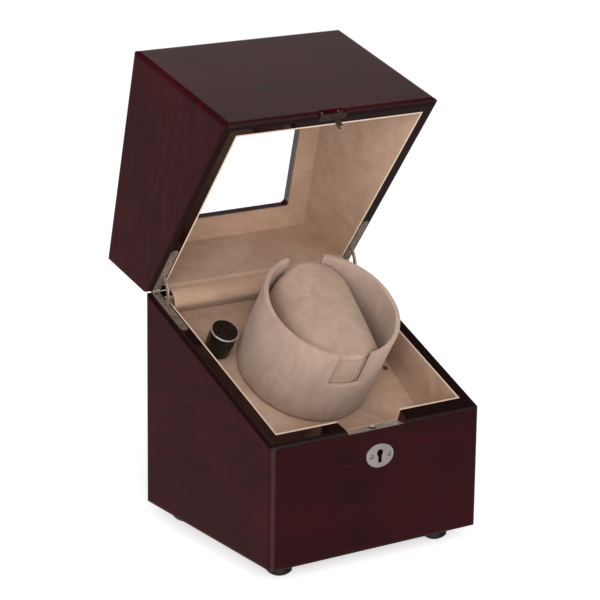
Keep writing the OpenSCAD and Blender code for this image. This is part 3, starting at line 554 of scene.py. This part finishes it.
def drop_loose(thing):
    mesh = bmesh.new()
    mesh.from_mesh(thing.data)
    bmesh.ops.delete(mesh, geom=[v for v in mesh.verts if not v.link_faces], context="VERTS")
    mesh.to_mesh(thing.data)
    mesh.free()


# ---- cushion ----

CLOTH_FRAMES = 20
PLEAT_STEP = 3.4
SEAM_DROP = 5.5


def pressure_cloth(thing, cap):
    """Blows the piece up as a sewn cover round its filling; no point moves further than cap."""
    start = [v.co.copy() for v in thing.data.vertices]
    cloth = thing.modifiers.new("cloth", "CLOTH")
    settings = cloth.settings
    settings.quality = 5
    settings.mass = 0.3
    settings.tension_stiffness = 12
    settings.compression_stiffness = 12
    settings.shear_stiffness = 6
    settings.bending_stiffness = 0.4
    settings.use_pressure = True
    settings.uniform_pressure_force = 4
    settings.effector_weights.gravity = 0
    cloth.point_cache.frame_start = 1
    cloth.point_cache.frame_end = CLOTH_FRAMES
    for f in range(1, CLOTH_FRAMES + 1):
        scene.frame_set(f)
    bake_modifiers(thing)
    scene.frame_set(1)
    for v, was in zip(thing.data.vertices, start):
        move = v.co - was
        if move.length > cap:
            v.co = was + move * (cap / move.length)


def shape_cushion(co):
    """Gathers the cover below a seam at both ends and keeps the pad inside the cup."""
    x, y, z = (c / MM for c in co)
    reach = CUP_R - CUP_WALL - 0.5
    y *= 1.06
    angle = math.degrees(math.atan2(y, x))
    for at, width in NOTCHES:
        inside = math.degrees(math.asin(width / 2 / CUP_R)) - apart(angle, at)
        reach += 1.8 * min(1, max(0, inside / 3)) * min(1, max(0, (z - NOTCH_FLOOR) / 4))
    end = min(1, max(0, (abs(y) - 26) / 10))
    seam_z = CUSHION_TOP - SEAM_DROP
    below = min(1, max(0, (seam_z + 0.8 - z) / 3))
    fade = min(1, max(0, (z - CUSHION_LOW - 4) / 22))
    if end > 0:
        phase = x / PLEAT_STEP * 2 * math.pi + 2.2 * noise.noise(Vector((x / 9, math.copysign(7, y), z / 30)))
        pleat = (0.5 + 0.5 * math.cos(phase)) ** 1.4
        depth = 0.65 + 0.4 * noise.noise(Vector((x / 6, 3, math.copysign(5, y))))
        pull = 1.3 * depth * pleat * below * fade * end
        groove = 0.7 * math.exp(-((z - seam_z) / 1.0) ** 2) * end
        y -= math.copysign(pull + groove, y)
    flat = math.hypot(x, y)
    if flat > reach:
        x, y = x * reach / flat, y * reach / flat
    z += 0.5 * noise.noise(Vector((x / 22, y / 22, 4)))
    return Vector((x, y, z)) * MM


def cushion(made):
    local = cup_matrix() @ Matrix.Rotation(math.radians(CUP_TURN), 4, "Z")
    mesh = nodes["watch_cushion"].data.copy()
    mesh.transform(local.inverted())
    pad = bpy.data.objects.new("watch_cushion_suede", mesh)
    scene.collection.objects.link(pad)
    middle = Vector((0, 0, (CUSHION_LOW + CUSHION_TOP) / 2 * MM))
    for v in mesh.vertices:
        v.co = middle + (v.co - middle) * 0.95
    weld = pad.modifiers.new("weld", "WELD")
    weld.merge_threshold = 0.00001
    remesh = pad.modifiers.new("remesh", "REMESH")
    remesh.mode = "VOXEL"
    remesh.voxel_size = 4 * MM
    bake_modifiers(pad)
    pressure_cloth(pad, 5 * MM)
    smooth = pad.modifiers.new("round", "SUBSURF")
    smooth.levels = smooth.render_levels = 2
    bake_modifiers(pad)
    for v in pad.data.vertices:
        v.co = shape_cushion(v.co)
    for face in pad.data.polygons:
        face.use_smooth = True
    pad.data.materials.clear()
    pad.data.materials.append(made)
    pad.data.transform(local)
    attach(pad, "cushion")
    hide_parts("watch_cushion")


# ---- suede flap over the hinge gap ----

ROLL_POINTS = 14
# Columns of the flap's mesh across its width
FLAP_COLUMNS = 72


def flap_path():
    """From the lid lining, over a soft roll, back to the base lining: points in the Y-Z plane."""
    centre = Vector(FLAP_AT)
    first_angle, last_angle = 95, 188
    step = (last_angle - first_angle) / (ROLL_POINTS - 1)
    arc = [math.radians(first_angle + step * i) for i in range(ROLL_POINTS)]
    roll = [centre + FLAP_R * Vector((math.cos(a), math.sin(a))) for a in arc]
    last = Vector(FLAP_BASE_EDGE)
    tail = [roll[-1].lerp(last, t) + Vector((0, -0.8 * math.sin(math.pi * t))) for t in (0.3, 0.6, 0.85, 1)]
    first = Vector(FLAP_LID_EDGE)
    return [p * MM for p in [first, first.lerp(roll[0], 0.5)] + roll + tail]


def flap(made):
    low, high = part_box("lining_flap")
    path = flap_path()
    verts, faces = [], []
    for j, p in enumerate(path):
        hang = math.sin(math.pi * j / (len(path) - 1))
        for i in range(FLAP_COLUMNS + 1):
            x = low.x + (high.x - low.x) * i / FLAP_COLUMNS
            sway = hang * 0.6 * MM * noise.noise(Vector((x * 28, j * 0.12, 1)))
            verts.append(Vector((x, p.x - sway, p.y + 0.5 * sway)))
    n = FLAP_COLUMNS + 1
    for j in range(len(path) - 1):
        for i in range(FLAP_COLUMNS):
            faces.append((j * n + i, (j + 1) * n + i, (j + 1) * n + i + 1, j * n + i + 1))
    piece = new_piece("lining_flap_suede", verts, faces, made)
    smooth = piece.modifiers.new("round", "SUBSURF")
    smooth.levels = smooth.render_levels = 1
    cloth = piece.modifiers.new("cloth", "SOLIDIFY")
    cloth.thickness = 0.7 * MM
    cloth.offset = 0
    bake_modifiers(piece)
    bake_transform(piece)
    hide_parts("lining_flap")


# ---- the whole ----

camera()
studio()
finish = make_materials()
dress_nodes(finish)
for name, width in SOFT_EDGES.items():
    soften(name, width)
cup_shell(finish["cup_suede"])
cushion(finish["cushion_suede"])
flap(finish["flap_suede"])
